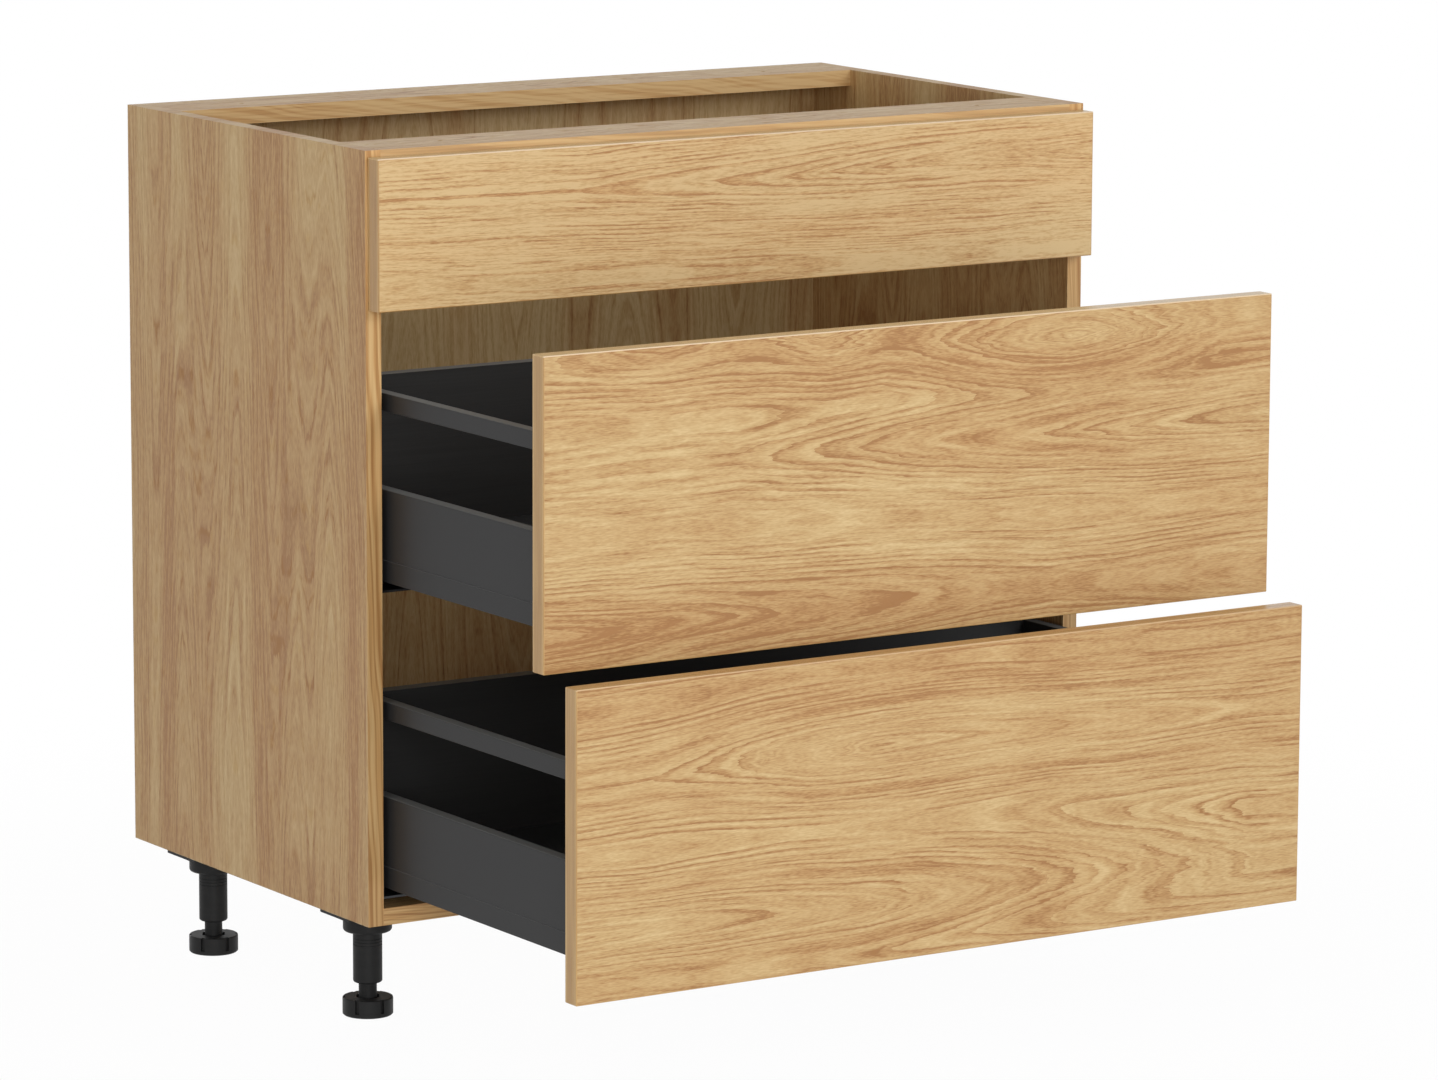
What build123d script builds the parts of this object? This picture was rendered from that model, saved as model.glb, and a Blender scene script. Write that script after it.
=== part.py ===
"""Kitchen base cabinet on legs: a wood-decor carcass with a blind top front and two deep drawers.

Millimetres, +Z up, fronts towards -Y. The drawers are stored pulled out, as they are shown.
Drawer sections are drawn in (u, w): u is measured inwards from the inner face of the carcass side,
w upwards from the lower edge of the drawer's metal side.
"""
import os

from build123d import *

# Carcass boards
carcass_width = 800.0
carcass_depth = 458.0
carcass_height = 720.0
leg_height = 100.0
board = 16.0
back_thickness = 12.0
rebate_width = 8.0
front_rail_width = 73.0
rear_rail_width = 66.0
carcass_band = 0.8

# Worktop screw holes in the top rails
worktop_hole_radius = 2.5
worktop_hole_spacing = 600.0

# Board joints
dowel_radius = 4.0
dowel_in_side = 11.0
dowel_in_edge = 24.0
bolt_thread_radius = 2.5
bolt_shaft_radius = 3.0
bolt_bore_radius = 3.5
cam_radius = 7.5
cam_height = 12.0
cam_from_edge = 34.0
bottom_dowel_front = 120.0
bottom_dowel_rear = 133.0
bottom_cam_front = 160.0
bottom_cam_rear = 173.0
rail_dowel_place = 20.0
rail_cam_place = 50.0

# Fronts
front_side_reveal = 2.0
front_thickness = 19.0
front_band = 1.0
front_round = 0.9
front_gap = 1.0
front_reveal = 4.0
front_top_reveal = 6.0
drawer_front_height = 283.0
upper_pull = 288.0
lower_pull = 343.0

# Steel angles behind the fascia
angle_sheet = 2.0
angle_arm = 25.0
angle_rise = 10.0
angle_top_gap = 10.0
angle_screw_inset = 12.0

# Countersunk screws
screw_radius = 1.75
screw_head_radius = 3.5
screw_head_height = 2.0
screw_length = 14.0
screw_tip = 1.5

# Drawer sides, bottom and back
drawer_length = 400.0
side_gap = 6.0
side_width = 13.0
side_height = 86.0
side_sheet = 0.8
side_rise = 34.0
side_round = 1.5
side_return = 3.2
side_flange = 6.7
groove_level = 20.0
groove_height = 1.4
groove_depth = 0.4
floor_level = 31.0
bottom_thickness = 8.0
drawer_back_thickness = 16.0
drawer_back_top = 177.0

# Gallery rails
gallery_top = 175.0
gallery_height = 17.0
gallery_width = 12.0
gallery_wall = 1.2
gallery_round = 1.2
connector_length = 16.0
connector_height = 20.0
connector_round = 1.0
tongue_length = 18.0
tongue_play = 0.1
pin_radius = 4.0
pin_length = 10.0

# Rear posts and front brackets
post_tongue_length = 34.0
post_tongue_low = 30.0
post_tongue_high = 80.0
bracket_low = 16.0
bracket_high = 78.0
bracket_web = 2.0
bracket_arm = 1.5
bracket_length = 60.0
bracket_screw_inset = 14.0

# Runners
runner_inset = 26.0
runner_width = 24.0
runner_drop = 9.5
runner_flange_top = 18.0
runner_setback = 3.0
runner_sheet = 2.0
runner_lip = 5.0
channel_room = 4.0
member_gap = 0.5
slide_sheet = 1.0
slide_lip = 5.0
slide_play = 0.4
web_width = 4.0
slide_setback = 4.0
middle_setback = 10.0
middle_length = 380.0
runner_screw_level = 8.0
runner_screw_front = 37.0
runner_screw_rear = 43.0
runner_screw_middle = 165.0

# Legs
leg_side_inset = 37.0
leg_front_inset = 67.0
leg_rear_inset = 90.0
plate_size = 70.0
plate_thickness = 3.5
plate_round = 10.0
plate_screw_offset = 29.0
collar_radius = 23.0
collar_drop = 20.0
collar_round = 3.0
gusset_thickness = 3.0
gusset_height = 6.0
tube_radius = 13.75
tube_bottom = 31.0
tube_seat = 13.0
tube_round = 2.0
tube_ring_drop = 7.0
tube_ring_pitch = 3.0
tube_rings = 3
tube_ring_width = 0.8
tube_ring_depth = 0.6
spindle_radius = 8.5
spindle_play = 0.4
spindle_top_gap = 18.0
foot_radius = 23.75
foot_height = 17.0
foot_bevel = 1.2
foot_round = 1.2
foot_slots = 6
foot_slot_turn = 35.0
foot_slot_width = 4.0
foot_slot_depth = 2.5
foot_slot_bottom = 4.0
seat_across = 21.5
seat_depth = 3.0

# Derived places
half_width = carcass_width / 2
inner_x = half_width - board
carcass_top = leg_height + carcass_height
inner_back = carcass_depth - back_thickness
bottom_top = leg_height + board
front_width = carcass_width - 2 * front_side_reveal
lower_front_z = leg_height
upper_front_z = lower_front_z + drawer_front_height + front_reveal
fascia_z = upper_front_z + drawer_front_height + front_reveal
fascia_height = carcass_top - front_top_reveal - fascia_z
centre_y = (carcass_depth - lower_pull - front_thickness) / 2
slack = 1.0


def block(x0, x1, y0, y1, z0, z1):
    """Box between two corners."""
    middle = Pos((x0 + x1) / 2, (y0 + y1) / 2, (z0 + z1) / 2)
    return middle * Box(x1 - x0, y1 - y0, z1 - z0)


def rod(start, direction, radius, length):
    """Cylinder from a start point along a direction."""
    base = Plane(origin=start, z_dir=direction)
    return extrude(base * Circle(radius), length)


def disc(z, radius, height):
    """Upright cylinder on the Z axis that stands at a height z."""
    return extrude(Pos(0, 0, z) * Circle(radius), height)


def along_y(sketch, x, z, y0, y1):
    """Extrude a section drawn in X and Z from y0 to y1."""
    plane = Plane(origin=(x, y1, z), x_dir=(1, 0, 0), z_dir=(0, -1, 0))
    return extrude(plane * sketch, y1 - y0)


def outline(points):
    """Face inside a closed polygon."""
    return make_face(Polyline(*points, close=True))


def mirrored(shape):
    """Mirror image across the middle of the cabinet."""
    return mirror(shape, about=Plane.YZ)


def both_sides(shape):
    """A left piece and its right-hand mirror image."""
    return [shape, mirrored(shape)]


def cut(shape, tools):
    """Take a list of tools out of a shape, one by one."""
    for tool in tools:
        shape = shape - tool
    return shape


def screw(head, outwards):
    """Countersunk screw whose flat head lies at a point and faces outwards."""
    section = [
        (0, 0, 0),
        (screw_head_radius, 0, 0),
        (screw_radius, 0, -screw_head_height),
        (screw_radius, 0, screw_tip - screw_length),
        (0, 0, -screw_length),
    ]
    solid = revolve(outline(section), Axis.Z)
    return Plane(origin=head, z_dir=outwards) * solid


# Board joints: each place is (y, z, lower face of the board that takes the cam)
bottom_middle = leg_height + board / 2
rail_bottom = carcass_top - board
rail_middle = carcass_top - board / 2
rear_rail_front = inner_back - rear_rail_width
rail_fronts = (0.0, rear_rail_front)
bottom_dowel_places = (bottom_dowel_front, inner_back - bottom_dowel_rear)
bottom_cam_places = (bottom_cam_front, inner_back - bottom_cam_rear)
dowel_places = [(y, bottom_middle) for y in bottom_dowel_places]
dowel_places += [(front + rail_dowel_place, rail_middle) for front in rail_fronts]
cam_places = [(y, bottom_middle, leg_height) for y in bottom_cam_places]
cam_places += [(front + rail_cam_place, rail_middle, rail_bottom) for front in rail_fronts]

dowels = []
cam_bolts = []
cam_housings = []
bolt_bores = []
for y, z in dowel_places:
    start = (-inner_x - dowel_in_side, y, z)
    dowels += both_sides(rod(start, (1, 0, 0), dowel_radius, dowel_in_side + dowel_in_edge))
for y, z, face_z in cam_places:
    threaded = rod((-inner_x - dowel_in_side, y, z), (1, 0, 0), bolt_thread_radius, dowel_in_side)
    shaft = rod((-inner_x, y, z), (1, 0, 0), bolt_shaft_radius, cam_from_edge)
    bore = rod((-inner_x, y, z), (1, 0, 0), bolt_bore_radius, cam_from_edge)
    cam = rod((-inner_x + cam_from_edge, y, face_z), (0, 0, 1), cam_radius, cam_height)
    cam_bolts += both_sides(threaded + shaft)
    cam_housings += both_sides(cam - shaft)
    bolt_bores += both_sides(bore + cam)

# Legs
leg_places = {
    "front_left": (-half_width + leg_side_inset, leg_front_inset),
    "front_right": (half_width - leg_side_inset, leg_front_inset),
    "rear_left": (-half_width + leg_side_inset, carcass_depth - leg_rear_inset),
    "rear_right": (half_width - leg_side_inset, carcass_depth - leg_rear_inset),
}
plate_bottom = leg_height - plate_thickness
collar_bottom = leg_height - collar_drop
tube_top = collar_bottom + tube_seat
spindle_top = tube_top - spindle_top_gap
leg_screws = []
for x, y in leg_places.values():
    for dx in (-plate_screw_offset, plate_screw_offset):
        for dy in (-plate_screw_offset, plate_screw_offset):
            leg_screws.append(screw((x + dx, y + dy, plate_bottom), (0, 0, -1)))


def leg_socket(x, y):
    """Square plate with a collar for the tube and gussets between them."""
    plate = extrude(RectangleRounded(plate_size, plate_size, plate_round), plate_thickness)
    collar = disc(collar_bottom, collar_radius, plate_bottom - collar_bottom)
    collar = fillet(collar.edges().group_by(Axis.Z)[0], collar_round)
    solid = Pos(0, 0, plate_bottom) * plate + collar
    reach = plate_size / 2 - slack
    rib = outline([(0, 0), (reach, 0), (collar_radius, -gusset_height), (0, -gusset_height)])
    rib = along_y(rib, 0, plate_bottom, -gusset_thickness / 2, gusset_thickness / 2)
    for turn in range(4):
        solid = solid + Rot(0, 0, 90 * turn) * rib
    seat = disc(collar_bottom, tube_radius, tube_seat)
    return cut(Pos(x, y, 0) * (solid - seat), leg_screws)


def leg_tube(x, y):
    """Tube with ring grooves that stands in the socket's collar."""
    tube = disc(tube_bottom, tube_radius, tube_top - tube_bottom)
    tube = fillet(tube.edges().group_by(Axis.Z)[0], tube_round)
    ring = Circle(tube_radius + slack) - Circle(tube_radius - tube_ring_depth)
    for index in range(tube_rings):
        level = collar_bottom - tube_ring_drop - tube_ring_pitch * index
        tube = tube - extrude(Pos(0, 0, level) * ring, tube_ring_width)
    bore = disc(tube_bottom - slack, spindle_radius + spindle_play, tube_top - tube_bottom + 2 * slack)
    return Pos(x, y, 0) * (tube - bore)


def foot(x, y):
    """Foot disc with grip slots, a hexagonal recess and the spindle that goes up into the tube."""
    pad = disc(0, foot_radius, foot_height)
    pad = chamfer(pad.edges().group_by(Axis.Z)[0], foot_bevel)
    pad = fillet(pad.edges().group_by(Axis.Z)[-1], foot_round)
    slot = block(
        foot_radius - foot_slot_depth, foot_radius + slack,
        -foot_slot_width / 2, foot_slot_width / 2,
        foot_slot_bottom, foot_height + slack,
    )
    for index in range(foot_slots):
        pad = pad - Rot(0, 0, foot_slot_turn + 360 / foot_slots * index) * slot
    hexagon = RegularPolygon(seat_across / 2, 6, major_radius=False)
    seat_bottom = foot_height - seat_depth
    seat = Pos(0, 0, seat_bottom) * extrude(hexagon, seat_depth + slack)
    spindle = disc(seat_bottom, spindle_radius, spindle_top - seat_bottom)
    return Pos(x, y, 0) * (pad - seat + spindle)


# Steel angles that hold the fascia, with their screws
angle_low = fascia_z + angle_rise
angle_high = rail_bottom - angle_top_gap
angle_corner = [
    (0, 0),
    (angle_arm, 0),
    (angle_arm, angle_sheet),
    (angle_sheet, angle_sheet),
    (angle_sheet, angle_arm),
    (0, angle_arm),
]
angle = Pos(-inner_x, -front_gap, angle_low) * extrude(outline(angle_corner), angle_high - angle_low)
angle_screws = []
for level in (angle_low + angle_screw_inset, angle_high - angle_screw_inset):
    arm_middle = (angle_arm + angle_sheet) / 2
    into_side = screw((-inner_x + angle_sheet, -front_gap + arm_middle, level), (1, 0, 0))
    into_front = screw((-inner_x + arm_middle, -front_gap + angle_sheet, level), (0, 1, 0))
    angle_screws += both_sides(into_side) + both_sides(into_front)

# Runner levels and widths, in (u, w)
channel_floor = runner_sheet - runner_drop
lip_low = channel_floor + channel_room
lip_high = lip_low + runner_sheet
slide_low = lip_high + member_gap
slide_lip_high = slide_low + slide_sheet
bottom_underside = floor_level - bottom_thickness
slide_top_low = bottom_underside - slide_sheet
runner_far = runner_inset + runner_width
channel_near = runner_inset + runner_sheet
channel_far = runner_far - runner_sheet
slide_near = runner_inset + slide_sheet
slide_far = runner_far - slide_sheet
web_near = (runner_inset + runner_far - web_width) / 2
web_far = web_near + web_width
flange_thickness = channel_room - 2 * slide_play
low_flange = channel_floor + slide_play
high_flange = slide_lip_high + slide_play

cabinet_member = outline([
    (0, runner_flange_top),
    (runner_sheet, runner_flange_top),
    (runner_sheet, channel_floor),
    (runner_inset, channel_floor),
    (runner_inset, lip_high),
    (channel_near + runner_lip, lip_high),
    (channel_near + runner_lip, lip_low),
    (channel_near, lip_low),
    (channel_near, channel_floor),
    (channel_far, channel_floor),
    (channel_far, lip_low),
    (channel_far - runner_lip, lip_low),
    (channel_far - runner_lip, lip_high),
    (runner_far, lip_high),
    (runner_far, -runner_drop),
    (0, -runner_drop),
])
middle_member = outline([
    (channel_near + slide_play, low_flange),
    (channel_far - slide_play, low_flange),
    (channel_far - slide_play, low_flange + flange_thickness),
    (web_far, low_flange + flange_thickness),
    (web_far, high_flange),
    (slide_far - slide_play, high_flange),
    (slide_far - slide_play, high_flange + flange_thickness),
    (slide_near + slide_play, high_flange + flange_thickness),
    (slide_near + slide_play, high_flange),
    (web_near, high_flange),
    (web_near, low_flange + flange_thickness),
    (channel_near + slide_play, low_flange + flange_thickness),
])
drawer_member = outline([
    (runner_inset, bottom_underside),
    (runner_far, bottom_underside),
    (runner_far, slide_low),
    (runner_far - slide_lip, slide_low),
    (runner_far - slide_lip, slide_lip_high),
    (slide_far, slide_lip_high),
    (slide_far, slide_top_low),
    (slide_near, slide_top_low),
    (slide_near, slide_lip_high),
    (runner_inset + slide_lip, slide_lip_high),
    (runner_inset + slide_lip, slide_low),
    (runner_inset, slide_low),
])

# Double-wall drawer side, in (u, w): outer skin, rounded top, inner skin, flange under the bottom board
side_outer = side_gap
side_inner = side_gap + side_width
hollow_outer = side_outer + side_sheet
hollow_inner = side_inner - side_sheet
side_section = outline([
    (side_outer, 0),
    (side_outer, groove_level),
    (side_outer + groove_depth, groove_level + groove_depth),
    (side_outer + groove_depth, groove_level + groove_height - groove_depth),
    (side_outer, groove_level + groove_height),
    (side_outer, side_height),
    (side_inner, side_height),
    (side_inner, bottom_underside),
    (side_inner + side_flange, bottom_underside),
    (side_inner + side_flange, bottom_underside - side_sheet),
    (hollow_inner, bottom_underside - side_sheet),
    (hollow_inner, side_height - side_sheet),
    (hollow_outer, side_height - side_sheet),
    (hollow_outer, side_sheet),
    (hollow_outer + side_return, side_sheet),
    (hollow_outer + side_return, 0),
])
top_corners = side_section.vertices().group_by(Axis.Y)
side_section = fillet(top_corners[-1], side_round)
under_corners = [v for v in side_section.vertices() if abs(v.Y - side_height + side_sheet) < side_sheet / 4]
side_section = fillet(under_corners, side_round - side_sheet)

# Gallery rail section, centred
gallery_middle_u = side_gap + side_width / 2
gallery_middle_w = gallery_top - gallery_height / 2
gallery_inside = (gallery_width - 2 * gallery_wall, gallery_height - 2 * gallery_wall)
gallery_section = RectangleRounded(gallery_width, gallery_height, gallery_round)
gallery_section = gallery_section - Rectangle(*gallery_inside)
tongue_section = Rectangle(gallery_inside[0] - 2 * tongue_play, gallery_inside[1] - 2 * tongue_play)
connector_section = RectangleRounded(side_width, connector_height, connector_round)


def banded_front(low, height, back_y, holes):
    """Front board and the edge band around it, with its back face at back_y.

    Args:
        low: height of the lower edge.
        height: height of the front.
        back_y: place of the back face.
        holes: solids taken out of the board.

    Returns:
        The board and its edge band.
    """
    half = front_width / 2
    whole = block(-half, half, back_y - front_thickness, back_y, low, low + height)
    whole = fillet(whole.edges(), front_round)
    core = block(
        front_band - half, half - front_band,
        back_y - front_thickness, back_y,
        low + front_band, low + height - front_band,
    )
    room = block(
        front_band - half, half - front_band,
        back_y - front_thickness - slack, back_y + slack,
        low + front_band, low + height - front_band,
    )
    return cut(core, holes), whole - room


def drawer(name, front_low, pull):
    """All pieces of one drawer and its runners.

    Args:
        name: first word of the node names.
        front_low: height of the front's lower edge.
        pull: how far the drawer is pulled out.

    Returns:
        Nodes of the drawer, nodes of the middle members, nodes of the cabinet members and their screws.
    """
    left = -inner_x
    low = front_low + side_rise
    back_face = drawer_length - pull
    back_front = back_face - drawer_back_thickness

    side = along_y(side_section, left, low, -pull, back_front)
    gallery_x = left + gallery_middle_u
    gallery_z = low + gallery_middle_w
    rail_start = connector_length - pull
    rail = along_y(gallery_section, gallery_x, gallery_z, rail_start, back_front)
    connector = along_y(connector_section, gallery_x, gallery_z, -pull, rail_start)
    tongue_end = rail_start + tongue_length
    connector = connector + along_y(tongue_section, gallery_x, gallery_z, rail_start, tongue_end)
    pin = rod((gallery_x, -pull, gallery_z), (0, -1, 0), pin_radius, pin_length)
    connector = connector + pin

    post = block(left + side_outer, left + side_inner, back_front, back_face, low, low + drawer_back_top)
    post = fillet(post.edges().filter_by(Axis.Z).group_by(Axis.X)[0], side_round)
    post = post + block(
        left + hollow_outer, left + hollow_inner,
        back_front - post_tongue_length, back_front,
        low + post_tongue_low, low + post_tongue_high,
    )
    post = post + along_y(tongue_section, gallery_x, gallery_z, back_front - tongue_length, back_front)

    bracket = block(
        left + hollow_outer, left + hollow_inner, -pull, bracket_length - pull,
        low + bracket_low, low + bracket_high,
    )
    bracket = bracket - block(
        left + hollow_outer + bracket_arm, left + hollow_inner - bracket_arm,
        bracket_web - pull, bracket_length - pull + slack,
        low + bracket_low - slack, low + bracket_high + slack,
    )
    screws = []
    for level in (bracket_low + bracket_screw_inset, bracket_high - bracket_screw_inset):
        screws += both_sides(screw((gallery_x, bracket_web - pull, low + level), (0, 1, 0)))

    holes = screws + both_sides(pin)
    front, band = banded_front(front_low, drawer_front_height, -pull, holes)
    width = inner_x - side_inner
    floor = block(-width, width, -pull, back_face, low + bottom_underside, low + floor_level)
    back = block(-width, width, back_front, back_face, low + floor_level, low + drawer_back_top)
    slide = along_y(drawer_member, left, low, slide_setback - pull, back_face - slide_setback)

    pulled = {
        f"{name}_front": front,
        f"{name}_front_band": band,
        f"{name}_left_side": side,
        f"{name}_right_side": mirrored(side),
        f"{name}_bottom": floor,
        f"{name}_back": back,
        f"{name}_left_gallery": rail,
        f"{name}_right_gallery": mirrored(rail),
        f"{name}_connectors": both_sides(connector),
        f"{name}_posts": both_sides(post),
        f"{name}_brackets": [cut(piece, screws) for piece in both_sides(bracket)],
        f"{name}_slides": both_sides(slide),
        f"{name}_screws": screws,
    }

    start = middle_setback - pull / 2
    middle = along_y(middle_member, left, low, start, start + middle_length)
    middles = {f"{name}_left_middle": middle, f"{name}_right_middle": mirrored(middle)}

    wall_screws = []
    for place in (runner_screw_front, runner_screw_middle, drawer_length - runner_screw_rear):
        wall_screws.append(screw((left + runner_sheet, place, low + runner_screw_level), (1, 0, 0)))
    runner = along_y(cabinet_member, left, low, runner_setback, drawer_length)
    runner = cut(runner, wall_screws)
    runners = {f"{name}_left_runner": runner, f"{name}_right_runner": mirrored(runner)}
    fixed_screws = []
    for piece in wall_screws:
        fixed_screws += both_sides(piece)
    return pulled, middles, runners, fixed_screws


nodes = {}
upper, upper_middles, upper_runners, upper_wall_screws = drawer("upper", upper_front_z, upper_pull)
lower, lower_middles, lower_runners, lower_wall_screws = drawer("lower", lower_front_z, lower_pull)
carcass_screws = leg_screws + angle_screws + upper_wall_screws + lower_wall_screws

# Carcass boards, cut for dowels, bolts, cams and screws
side_panel = block(-half_width, -inner_x, carcass_band, carcass_depth, leg_height, carcass_top)
side_panel = side_panel - block(
    -inner_x - rebate_width, -inner_x + slack,
    inner_back, carcass_depth + slack,
    leg_height - slack, carcass_top + slack,
)
left_tools = [tool for tool in dowels + cam_bolts + carcass_screws if tool.center().X < 0]
left_side = cut(side_panel, left_tools)
nodes["left_side_panel"] = left_side
nodes["right_side_panel"] = mirrored(left_side)

bottom = block(-inner_x, inner_x, carcass_band, inner_back, leg_height, bottom_top)
low_tools = [tool for tool in dowels + bolt_bores + leg_screws if tool.center().Z < bottom_top]
nodes["bottom_panel"] = cut(bottom, low_tools)

rail_tools = [tool for tool in dowels + bolt_bores if tool.center().Z > bottom_top]
rail_boards = {"front_top_rail": (0.0, front_rail_width), "rear_top_rail": (rear_rail_front, rear_rail_width)}
for name, (front, width) in rail_boards.items():
    rail = block(-inner_x, inner_x, front + carcass_band, front + width, rail_bottom, carcass_top)
    for x in (-worktop_hole_spacing / 2, worktop_hole_spacing / 2):
        start = (x, front + width / 2, rail_bottom - slack)
        rail = rail - rod(start, (0, 0, 1), worktop_hole_radius, board + 2 * slack)
    near = [tool for tool in rail_tools if front < tool.center().Y < front + width]
    nodes[name] = cut(rail, near)

back_half = inner_x + rebate_width
nodes["back_panel"] = block(-back_half, back_half, inner_back, carcass_depth, leg_height, carcass_top)

side_band = block(-half_width, -inner_x, 0, carcass_band, leg_height, carcass_top)
bands = both_sides(side_band)
bands.append(block(-inner_x, inner_x, 0, carcass_band, leg_height, bottom_top))
for front in rail_fronts:
    bands.append(block(-inner_x, inner_x, front, front + carcass_band, rail_bottom, carcass_top))
nodes["carcass_bands"] = bands

fascia, fascia_band = banded_front(fascia_z, fascia_height, -front_gap, angle_screws)
nodes["fascia"] = fascia
nodes["fascia_band"] = fascia_band
nodes["fascia_angles"] = [cut(piece, angle_screws) for piece in both_sides(angle)]
nodes["dowels"] = dowels
nodes["cam_bolts"] = cam_bolts
nodes["cam_housings"] = cam_housings
nodes["carcass_screws"] = carcass_screws
for place, (x, y) in leg_places.items():
    nodes[f"{place}_leg_socket"] = leg_socket(x, y)
    nodes[f"{place}_leg_tube"] = leg_tube(x, y)
    nodes[f"{place}_foot"] = foot(x, y)
for pieces in (upper_runners, lower_runners, upper_middles, lower_middles, upper, lower):
    nodes.update(pieces)

os.makedirs("parts", exist_ok=True)
for name, shape in nodes.items():
    pieces = shape if isinstance(shape, list) else [shape]
    solids = [solid for piece in pieces for solid in piece.solids()]
    moved = [Pos(0, -centre_y, 0) * solid for solid in solids]
    export_step(moved[0] if len(moved) == 1 else Compound(children=moved), f"parts/{name}.step")
print(len(nodes), "nodes")
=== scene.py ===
"""Looks of a kitchen base cabinet with two deep drawers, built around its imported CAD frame.

Metres, +Z up, fronts towards -Y. Every piece keeps the place that its CAD node has.
"""

import logging
import math
from dataclasses import dataclass, field
from enum import Enum
from typing import Any, Iterable, Union

import bpy
from mathutils import Matrix, Vector


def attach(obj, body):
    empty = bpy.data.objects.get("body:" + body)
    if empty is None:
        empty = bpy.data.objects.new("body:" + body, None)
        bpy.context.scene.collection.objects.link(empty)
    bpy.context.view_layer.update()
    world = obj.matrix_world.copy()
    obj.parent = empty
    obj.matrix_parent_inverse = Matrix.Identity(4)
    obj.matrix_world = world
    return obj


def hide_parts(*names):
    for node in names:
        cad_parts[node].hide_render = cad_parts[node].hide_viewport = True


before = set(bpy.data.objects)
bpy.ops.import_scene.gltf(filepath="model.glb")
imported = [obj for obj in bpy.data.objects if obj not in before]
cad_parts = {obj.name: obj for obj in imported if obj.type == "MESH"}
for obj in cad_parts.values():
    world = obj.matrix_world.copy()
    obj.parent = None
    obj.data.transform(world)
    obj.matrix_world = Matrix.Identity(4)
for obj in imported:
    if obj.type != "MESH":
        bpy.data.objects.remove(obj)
log = logging.getLogger("cabinet")

Point = tuple[float, float, float]
Colour = tuple[float, float, float, float]
Spot = tuple[Point, Point]


def srgb(red: float, green: float, blue: float) -> Colour:
    """Turn a colour in bytes, as seen on a screen, into linear light.

    Args:
        red: red, 0 to 255.
        green: green, 0 to 255.
        blue: blue, 0 to 255.

    Returns:
        The linear colour with full alpha.
    """
    parts = [v / 255 for v in (red, green, blue)]
    light = [v / 12.92 if v <= 0.04045 else ((v + 0.055) / 1.055) ** 2.4 for v in parts]
    return (light[0], light[1], light[2], 1.0)


class Wire:
    """A node's output that takes part in arithmetic and adds Math nodes as it goes."""

    def __init__(self, graph: "Graph", socket: bpy.types.NodeSocket) -> None:
        """Keep the socket and the graph it lives in."""
        self.graph = graph
        self.socket = socket

    def __add__(self, other: "Value") -> "Wire":
        """Sum."""
        return self.graph.math("ADD", self, other)

    def __radd__(self, other: "Value") -> "Wire":
        """Sum with the wire on the right."""
        return self.graph.math("ADD", other, self)

    def __sub__(self, other: "Value") -> "Wire":
        """Difference."""
        return self.graph.math("SUBTRACT", self, other)

    def __rsub__(self, other: "Value") -> "Wire":
        """Difference with the wire on the right."""
        return self.graph.math("SUBTRACT", other, self)

    def __mul__(self, other: "Value") -> "Wire":
        """Product."""
        return self.graph.math("MULTIPLY", self, other)

    def __rmul__(self, other: "Value") -> "Wire":
        """Product with the wire on the right."""
        return self.graph.math("MULTIPLY", other, self)

    def __truediv__(self, other: "Value") -> "Wire":
        """Quotient."""
        return self.graph.math("DIVIDE", self, other)

    def __rtruediv__(self, other: "Value") -> "Wire":
        """Quotient with the wire below."""
        return self.graph.math("DIVIDE", other, self)

    def __neg__(self) -> "Wire":
        """Negative."""
        return self.graph.math("MULTIPLY", self, -1.0)

    def __abs__(self) -> "Wire":
        """Size without sign."""
        return self.graph.math("ABSOLUTE", self)

    def root(self) -> "Wire":
        """Square root."""
        return self.graph.math("SQRT", self)

    def exp(self) -> "Wire":
        """Natural exponential."""
        return self.graph.math("EXPONENT", self)

    def log(self) -> "Wire":
        """Natural logarithm."""
        return self.graph.math("LOGARITHM", self, math.e)

    def fraction(self) -> "Wire":
        """Part after the point."""
        return self.graph.math("FRACT", self)

    def above(self, edge: float) -> "Wire":
        """One where the wire is above an edge, else zero."""
        return self.graph.math("GREATER_THAN", self, edge)

    def at_least(self, low: "Value") -> "Wire":
        """The larger of two."""
        return self.graph.math("MAXIMUM", self, low)

    def at_most(self, high: "Value") -> "Wire":
        """The smaller of two."""
        return self.graph.math("MINIMUM", self, high)

    def step(self, low: float, high: float) -> "Wire":
        """Smooth rise from zero at one value to one at another."""
        settings = {"interpolation_type": "SMOOTHSTEP"}
        return self.graph.out("ShaderNodeMapRange", settings, {"Value": self, "From Min": low, "From Max": high})


Value = Union[Wire, float]
Place = tuple[Value, Value, Value]
Axes = tuple[Wire, Wire, Wire]
Sockets = dict[str | int, Any]


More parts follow.
